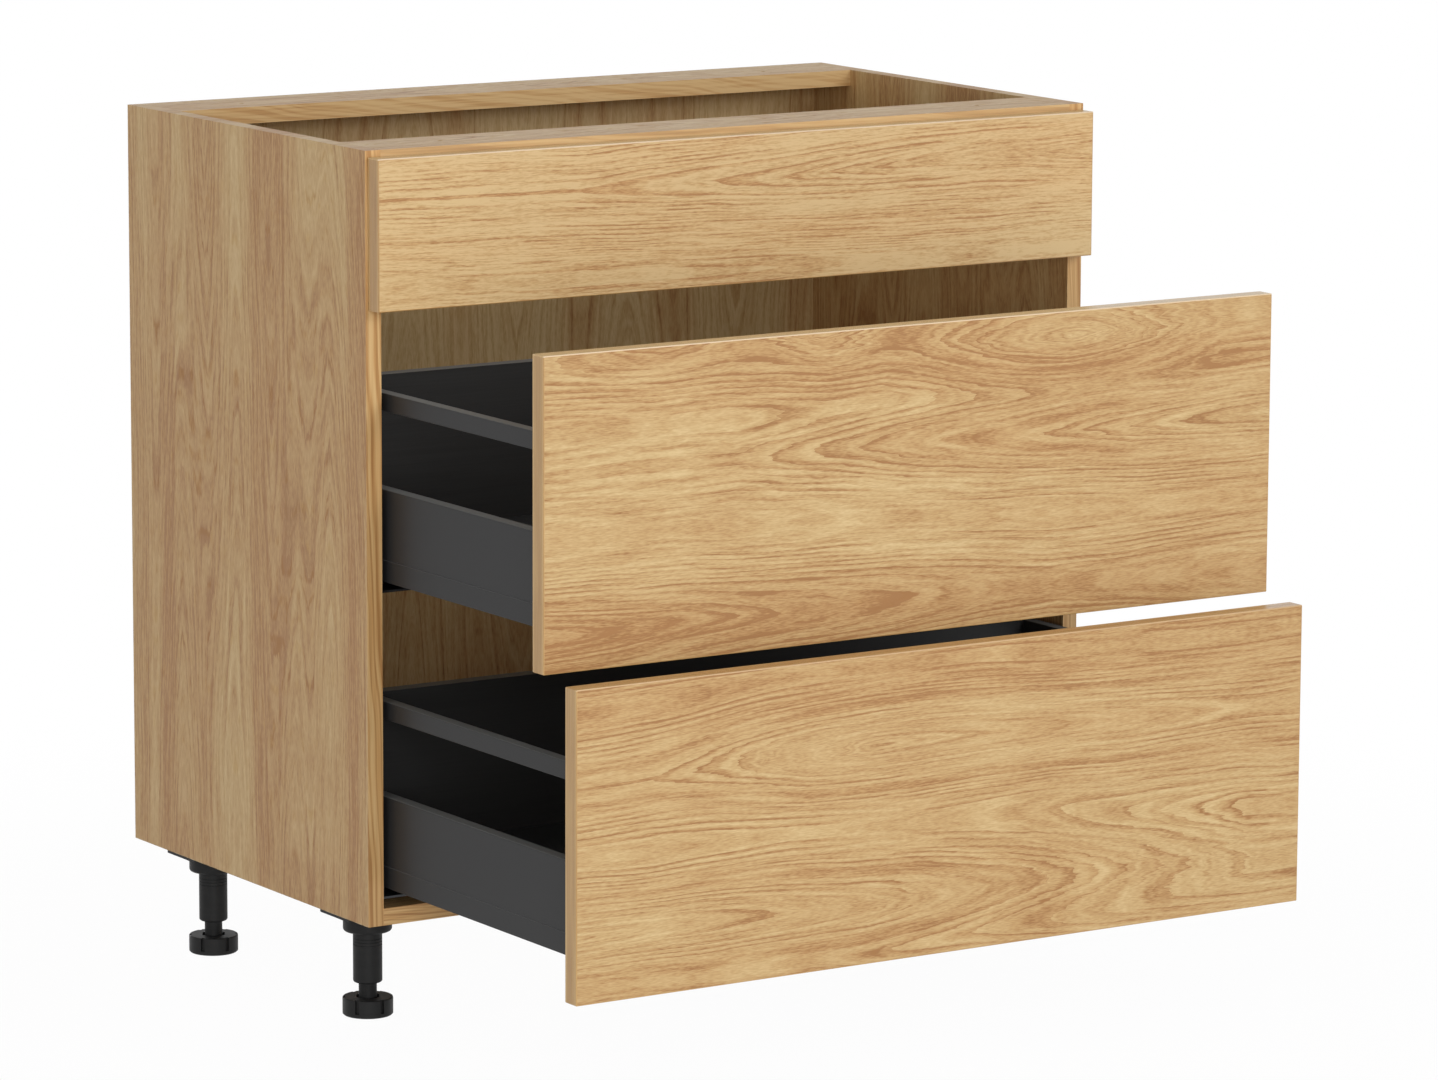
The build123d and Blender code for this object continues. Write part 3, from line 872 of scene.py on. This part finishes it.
SIDE_FLAMES = (
    Flame(0.00, 0.306, 0.0, 0.075),
    Flame(0.98, 0.250, 0.080, 0.0),
    Flame(0.30, 0.028, 0.02, 0.10),
    Flame(0.95, 0.130, 0.050, 0.0),
    Flame(0.00, 0.085, 0.0, 0.070),
    Flame(0.40, 0.430, 0.01, 0.01),
)
BACK_FLAMES = (
    Flame(0.00, -0.33, 0.0, 0.080),
    Flame(0.95, -0.24, 0.085, 0.0),
    Flame(0.05, -0.10, 0.0, 0.070),
    Flame(0.95, 0.03, 0.075, 0.0),
    Flame(0.00, 0.16, 0.0, 0.090),
    Flame(0.95, 0.30, 0.070, 0.0),
)
FLAT_FLAMES = (
    Flame(-0.60, 0.00, 0.0, 0.080),
    Flame(0.65, 0.12, 0.085, 0.0),
    Flame(-0.55, 0.24, 0.0, 0.075),
    Flame(0.60, 0.37, 0.080, 0.0),
)


@dataclass
class Fasteners:
    """Countersunk screws and cams that Geometry Nodes set in their places."""

    head_radius: float = 0.0035
    head_height: float = 0.0020
    shank_radius: float = 0.00155
    length: float = 0.014
    ridge: float = 0.0002
    turns: float = 8.0
    recess_width: float = 0.0009
    recess_span: float = 0.0040
    recess_depth: float = 0.0012
    tip_share: float = 0.3
    thread_share: float = 0.8
    thread_start: float = 0.88
    cam_radius: float = 0.0075
    cam_height: float = 0.012
    cam_rim: float = 0.0011
    cam_dish: float = 0.0008
    cam_slot_width: float = 0.0016
    cam_slot_depth: float = 0.0025
    cam_slot_span: float = 1.25
    cam_mark: tuple[float, float] = (0.5, 0.86)

    def screw_tree(self) -> Tree:
        """Countersunk screw with a cross recess and a thread.

        Returns:
            The tree, with the flat of the head on the point.
        """
        tree = Tree("countersunk_screw", {
            "Head Radius": self.head_radius, "Head Height": self.head_height, "Shank Radius": self.shank_radius,
            "Length": self.length, "Ridge": self.ridge, "Turns": self.turns, "Recess Width": self.recess_width,
            "Recess Span": self.recess_span, "Recess Depth": self.recess_depth})
        head, high, shank = tree.size("Head Radius"), tree.size("Head Height"), tree.size("Shank Radius")
        wide, span, deep = tree.size("Recess Width"), tree.size("Recess Span"), tree.size("Recess Depth")
        whole = tree.size("Length")
        shaft = whole - high
        cone = tree.shape("GeometryNodeMeshCone", {
            "Vertices": 24, "Radius Top": head, "Radius Bottom": shank, "Depth": high}, (0.0, 0.0, -high))
        cross = [tree.block(span, wide, deep * 2.0), tree.block(wide, span, deep * 2.0)]
        rod = tree.shape("GeometryNodeMeshCone", {
            "Vertices": 12, "Radius Top": shank, "Radius Bottom": shank * self.tip_share, "Depth": shaft},
            (0.0, 0.0, -whole))
        wind = tree.thread(shank, shaft * self.thread_share, tree.size("Turns"), tree.size("Ridge"),
                           (0.0, 0.0, -whole * self.thread_start))
        tree.close([tree.less(cone, cross), rod, wind])
        return tree

    def cam_tree(self) -> Tree:
        """Cam of a board fitting with a raised rim and a cross slot.

        Returns:
            The tree, with the face of the cam on the point.
        """
        tree = Tree("cam_face", {
            "Radius": self.cam_radius, "Height": self.cam_height,
            "Slot Width": self.cam_slot_width, "Slot Depth": self.cam_slot_depth})
        radius, high = tree.size("Radius"), tree.size("Height")
        wide, deep = tree.size("Slot Width"), tree.size("Slot Depth")
        drum = tree.shape("GeometryNodeMeshCylinder", {
            "Vertices": 40, "Radius": radius, "Depth": high}, (0.0, 0.0, high * -0.5))
        dish = tree.shape("GeometryNodeMeshCylinder", {
            "Vertices": 40, "Radius": radius - self.cam_rim, "Depth": self.cam_dish})
        span = radius * self.cam_slot_span
        cross = [tree.block(span, wide, deep * 2.0), tree.block(wide, span, deep * 2.0)]
        mark = tree.block(wide, radius * self.cam_mark[0], deep, (0.0, radius * self.cam_mark[1], 0.0))
        tree.close([tree.less(drum, [dish, *cross, mark])])
        return tree


@dataclass
class Carcass:
    """Boards, edge bands, fascia and the fittings that stand still."""

    body: str = "carcass"
    inner: float = 0.384
    cam_x: float = 0.350
    bottom_cams: tuple[float, float] = (0.112, 0.225)
    rail_cams: tuple[float, float] = (0.002, 0.382)
    bottom_face: float = 0.100
    rail_face: float = 0.804
    angle_levels: tuple[float, float] = (0.696, 0.782)
    angle_side_y: float = -0.0355
    angle_front_y: float = -0.047
    angle_front_x: float = 0.3705
    sheet: float = 0.002
    runner_screws: tuple[float, ...] = (-0.011, 0.117, 0.309)
    runner_levels: tuple[float, float] = (0.429, 0.142)
    plate_face: float = 0.0965
    plate_offset: float = 0.029
    fascia_back: float = -0.049
    fascia_front: float = -0.068
    fascia_top: float = 0.814

    def screw_spots(self, legs: list[Point]) -> list[Spot]:
        """Heads of all screws that stand still and the way each faces.

        Args:
            legs: middles of the legs.

        Returns:
            The points and directions.
        """
        spots: list[Spot] = []
        off = self.plate_offset
        for x, y, _ in legs:
            spots += [((x + i * off, y + j * off, self.plate_face), (0.0, 0.0, -1.0)) for i in (-1, 1) for j in (-1, 1)]
        wall = self.inner - self.sheet
        for side in (-1.0, 1.0):
            for level in self.angle_levels:
                spots.append(((side * wall, self.angle_side_y, level), (-side, 0.0, 0.0)))
                spots.append(((side * self.angle_front_x, self.angle_front_y, level), (0.0, 1.0, 0.0)))
            for level in self.runner_levels:
                spots += [((side * wall, y, level), (-side, 0.0, 0.0)) for y in self.runner_screws]
        return spots

    def cam_spots(self) -> list[Spot]:
        """Faces of the cams under the bottom board and under the rails."""
        places = [(y, self.bottom_face) for y in self.bottom_cams] + [(y, self.rail_face) for y in self.rail_cams]
        return [((side * self.cam_x, y, z), (0.0, 0.0, -1.0)) for y, z in places for side in (-1.0, 1.0)]

    def dress(self, shop: Shop) -> None:
        """Give the boards and fittings their finishes."""
        side = WoodDecor("decor_side", Grain.ALONG_Z_ON_SIDE, SIDE_FLAMES, seed=2.3, pitch=0.0060, rings_share=0.54,
                         zone_share=1.4, fine_share=0.84, shade=0.58, bands=SIDE_BANDS, raw_edges=True)
        shop.dress(side, "left_side_panel", "right_side_panel")
        flat = WoodDecor("decor_flat", Grain.ALONG_X_FLAT, FLAT_FLAMES, seed=5.1)
        shop.dress(flat, "bottom_panel", "front_top_rail", "rear_top_rail")
        back = WoodDecor("decor_back", Grain.ALONG_Z_ON_BACK, BACK_FLAMES, seed=7.7, pitch=0.0060, rings_share=0.6,
                         zone_share=1.1, shade=0.28, backed=True)
        shop.dress(back, "back_panel")
        shop.dress(CarcassEdging("edging_carcass", self.inner, seed=1.9), "carcass_bands")
        fascia = WoodDecor("decor_fascia", Grain.ALONG_X_UPRIGHT, FASCIA_FLAMES, seed=9.4, pitch=0.0028,
                           rings_share=1.4, zone_share=1.3, fine_share=1.65, shade=0.04, warmth=0.50,
                           tint=(238, 176, 116), bands=FASCIA_BANDS, accents=(0.027,))
        shop.dress(fascia, "fascia")
        # The fascia's edge band gets a painted highlight along its top.
        edging = FrontEdging("edging_fascia", self.fascia_back, self.fascia_front, self.fascia_top, shade=0.70,
                             painted_top_light=0.51)
        shop.dress(edging, "fascia_band")
        shop.dress(ZINC, "fascia_angles", "cam_bolts")
        shop.dress(TurnedBeech("beech"), "dowels")

    def build(self, shop: Shop, fasteners: Fasteners, legs: list[Point]) -> None:
        """Set the screws and cams.

        Args:
            shop: finishes.
            fasteners: sizes and trees of the screws and cams.
            legs: middles of the legs.
        """
        zinc = shop.get(ZINC)
        screws = fasteners.screw_tree().grow("screws_of_carcass", self.body, self.screw_spots(legs), zinc)
        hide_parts("carcass_screws")
        cams = fasteners.cam_tree().grow("cams_of_carcass", self.body, self.cam_spots(), zinc)
        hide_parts("cam_housings")


@dataclass
class Drawer:
    """One drawer with its front, double-wall sides, gallery rails and runners."""

    name: str
    flames: tuple[Flame, ...]
    bands: tuple[Band, ...]
    accents: tuple[float, ...]
    seed: float
    back_face: float
    front_face: float
    low: float
    top: float
    # Share of painted highlight on the top of the front's edge band.
    painted_top_light: float
    bracket_x: float = 0.3715
    bracket_screw_y: float = 0.002
    screw_levels: tuple[float, float] = (0.030, 0.064)

    def dress(self, shop: Shop) -> None:
        """Give the drawer's pieces their finishes."""
        name = self.name
        decor = WoodDecor(f"decor_{name}", Grain.ALONG_X_UPRIGHT, self.flames, self.seed, bands=self.bands,
                          accents=self.accents)
        shop.dress(decor, f"{name}_front")
        edging = FrontEdging(f"edging_{name}", self.back_face, self.front_face, self.top, painted_top_light=self.painted_top_light)
        shop.dress(edging, f"{name}_front_band")
        for side in ("left", "right"):
            shop.dress(ANTHRACITE, f"{name}_{side}_side", f"{name}_{side}_gallery")
            shop.dress(BLACKENED, f"{name}_{side}_middle", f"{name}_{side}_runner")
        shop.dress(BLACKENED, f"{name}_slides")
        shop.dress(BOTTOM_FOIL, f"{name}_bottom")
        shop.dress(BACK_FOIL, f"{name}_back")
        shop.dress(GREY_PLASTIC, f"{name}_connectors", f"{name}_posts")
        shop.dress(GALVANISED, f"{name}_brackets")

    def build(self, shop: Shop, fasteners: Fasteners) -> None:
        """Set the screws that hold the front."""
        zinc = shop.get(ZINC)
        y = self.back_face + self.bracket_screw_y
        spots = [((side * self.bracket_x, y, self.low + level), (0.0, 1.0, 0.0))
                 for side in (-1.0, 1.0) for level in self.screw_levels]
        screws = fasteners.screw_tree().grow(f"screws_of_{self.name}_front", f"{self.name}_drawer", spots, zinc)
        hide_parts(f"{self.name}_screws")


@dataclass
class Legs:
    """Four levelling legs of moulded plastic with threaded spindles."""

    side: float = 0.363
    front: float = 0.019
    rear: float = 0.320
    thread_bottom: float = 0.0180
    thread_radius: float = 0.0084
    thread_pitch: float = 0.0022
    thread_turns: float = 24.0
    ridge: float = 0.00036

    def places(self) -> dict[str, Point]:
        """Middle of each leg by name."""
        rows, hands = (("front", self.front), ("rear", self.rear)), (("left", -self.side), ("right", self.side))
        return {f"{row}_{hand}": (x, y, 0.0) for row, y in rows for hand, x in hands}

    def thread_tree(self) -> Tree:
        """Thread of the spindle.

        Returns:
            The tree, with the point on the floor under the middle of the leg.
        """
        tree = Tree("spindle_thread", {
            "Bottom": self.thread_bottom, "Radius": self.thread_radius, "Pitch": self.thread_pitch,
            "Turns": self.thread_turns, "Ridge": self.ridge})
        high = tree.size("Pitch") * tree.size("Turns")
        wind = tree.thread(tree.size("Radius"), high, tree.size("Turns"), tree.size("Ridge"),
                           (0.0, 0.0, tree.size("Bottom")))
        tree.close([wind])
        return tree

    def dress(self, shop: Shop) -> None:
        """Give sockets, tubes and feet their plastic."""
        for place in self.places():
            shop.dress(BLACK_PLASTIC, f"{place}_leg_socket", f"{place}_leg_tube", f"{place}_foot")

    def build(self, shop: Shop) -> None:
        """Wind the threads round the spindles."""
        tree = self.thread_tree()
        plastic = shop.get(BLACK_PLASTIC)
        for place, point in self.places().items():
            thread = tree.grow(f"{place}_foot_thread", f"{place}_foot", [(point, (0.0, 0.0, 1.0))], plastic)


@dataclass(frozen=True)
class SoftBox:
    """Round soft box, at a level where one shows a face square to it in its own colour."""

    name: str
    at: Point
    aim: Point
    size: float
    level: float

    def light(self) -> None:
        """Add the lamp to the scene."""
        data = bpy.data.lights.new(self.name, "AREA")
        data.shape = "DISK"
        data.size = self.size
        ray = Vector(self.aim) - Vector(self.at)
        data.energy = self.level * math.pi ** 2 * ray.length_squared
        box = bpy.data.objects.new(self.name, data)
        box.location = self.at
        box.rotation_mode = "QUATERNION"
        box.rotation_quaternion = ray.to_track_quat("-Z", "Y")
        bpy.context.scene.collection.objects.link(box)


SOFT_BOXES = (
    SoftBox("key_box", (-2.9, -6.2, 1.0), (0.0, -0.2, 0.45), size=3.4, level=0.42),
    SoftBox("fill_box", (2.2, -5.6, 3.2), (0.0, -0.2, 0.45), size=3.0, level=0.27),
    SoftBox("side_box", (-6.0, -1.2, 1.4), (-0.4, 0.1, 0.45), size=3.2, level=0.085),
    SoftBox("top_box", (-1.2, -2.6, 4.8), (0.0, 0.0, 0.60), size=3.0, level=0.03),
    SoftBox("rear_box", (0.7, 6.4, 0.3), (0.0, 0.4, 0.45), size=2.0, level=0.20),
)


@dataclass
class Studio:
    """White floor and backdrop, soft boxes and the camera of the photograph."""

    camera_at: Point = (-3.41374, -5.31242, 1.50757)
    yaw: float = -0.57297
    pitch: float = -0.17056
    roll: float = 0.00415
    focal: float = 6730.87
    image_width: float = 1438.0
    sensor: float = 36.0
    ambient: float = 0.35
    floor_reach: float = 12.0
    floor_level: float = -0.0006
    shadow: float = 0.028
    shadow_ring: tuple[float, float] = (0.45, 1.5)

    def camera(self) -> None:
        """Make the camera that the photograph was seen through."""
        data = bpy.data.cameras.new("camera")
        data.sensor_width = self.sensor
        data.lens = self.focal / self.image_width * self.sensor
        data.clip_end = 100.0
        eye = bpy.data.objects.new("camera", data)
        ahead = Vector((-math.sin(self.yaw) * math.cos(self.pitch), math.cos(self.yaw) * math.cos(self.pitch),
                        math.sin(self.pitch)))
        level = Vector((math.cos(self.yaw), math.sin(self.yaw), 0.0))
        right = level * math.cos(self.roll) + level.cross(ahead) * math.sin(self.roll)
        turn = Matrix((right, right.cross(ahead), -ahead)).transposed()
        eye.matrix_world = Matrix.Translation(self.camera_at) @ turn.to_4x4()
        bpy.context.scene.collection.objects.link(eye)
        bpy.context.scene.camera = eye

    def world(self) -> None:
        """White round the object to the eye and in reflections, dimmer as light."""
        world = bpy.data.worlds.new("surroundings")
        world.use_nodes = True
        graph = Graph(world.node_tree)
        world.node_tree.nodes.clear()
        strength = self.ambient + graph.to_eye() * (1.0 - self.ambient)
        back = graph.out("ShaderNodeBackground", inputs={"Color": (1.0, 1.0, 1.0, 1.0), "Strength": strength})
        graph.node("ShaderNodeOutputWorld", inputs={0: back})
        bpy.context.scene.world = world

    def floor(self) -> None:
        """Pale floor that keeps the object's shadow and lets the eye through to the white surroundings."""
        mesh = bpy.data.meshes.new("floor")
        ways = ((-1, -1), (1, -1), (1, 1), (-1, 1))
        corners = [(i * self.floor_reach, j * self.floor_reach, self.floor_level) for i, j in ways]
        mesh.from_pydata(corners, [], [(0, 1, 2, 3)])
        floor = bpy.data.objects.new("floor", mesh)
        bpy.context.scene.collection.objects.link(floor)
        paint = Paint("floor_white")
        x, y, _ = paint.place()
        away = (x * x + y * y).root().step(*self.shadow_ring)
        grain = paint.noise(x * 40.0, y * 40.0, 0.0, 2.0)
        white = paint.ramp(grain, [(0.3, (0.84, 0.84, 0.84, 1.0)), (0.7, (0.88, 0.88, 0.88, 1.0))])
        matt = paint.out("ShaderNodeBsdfDiffuse", inputs={"Color": white})
        clear = paint.out("ShaderNodeBsdfTransparent", inputs={"Color": (1.0, 1.0, 1.0, 1.0)})
        share = paint.to_eye() * (1.0 - self.shadow + away * self.shadow)
        both = paint.out("ShaderNodeMixShader", inputs={0: share, 1: matt, 2: clear})
        paint.node("ShaderNodeOutputMaterial", inputs={0: both})
        mesh.materials.append(paint.material)

    def build(self) -> None:
        """Set up camera, light and floor."""
        bpy.context.scene.view_settings.view_transform = "Standard"
        self.camera()
        self.world()
        self.floor()
        for box in SOFT_BOXES:
            box.light()


def main() -> None:
    """Build the cabinet's looks in order and keep its sizes."""
    logging.basicConfig(level=logging.INFO, format="%(name)s %(message)s")
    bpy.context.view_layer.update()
    shop = Shop()
    fasteners = Fasteners()
    legs = Legs()
    carcass = Carcass()
    drawers = (
        # Each front's edge band gets a painted highlight on its top; the lower front gets none.
        Drawer("upper", UPPER_FLAMES, UPPER_BANDS, accents=(0.022, 0.047), seed=31.7, back_face=-0.336,
               front_face=-0.355, low=0.421, top=0.670, painted_top_light=0.45),
        Drawer("lower", LOWER_FLAMES, LOWER_BANDS, accents=(), seed=8.8, back_face=-0.391,
               front_face=-0.410, low=0.134, top=0.383, painted_top_light=0.0),
    )
    carcass.dress(shop)
    carcass.build(shop, fasteners, list(legs.places().values()))
    for drawer in drawers:
        drawer.dress(shop)
        drawer.build(shop, fasteners)
    legs.dress(shop)
    legs.build(shop)
    Studio().build()


if __name__ == "__main__":
    main()
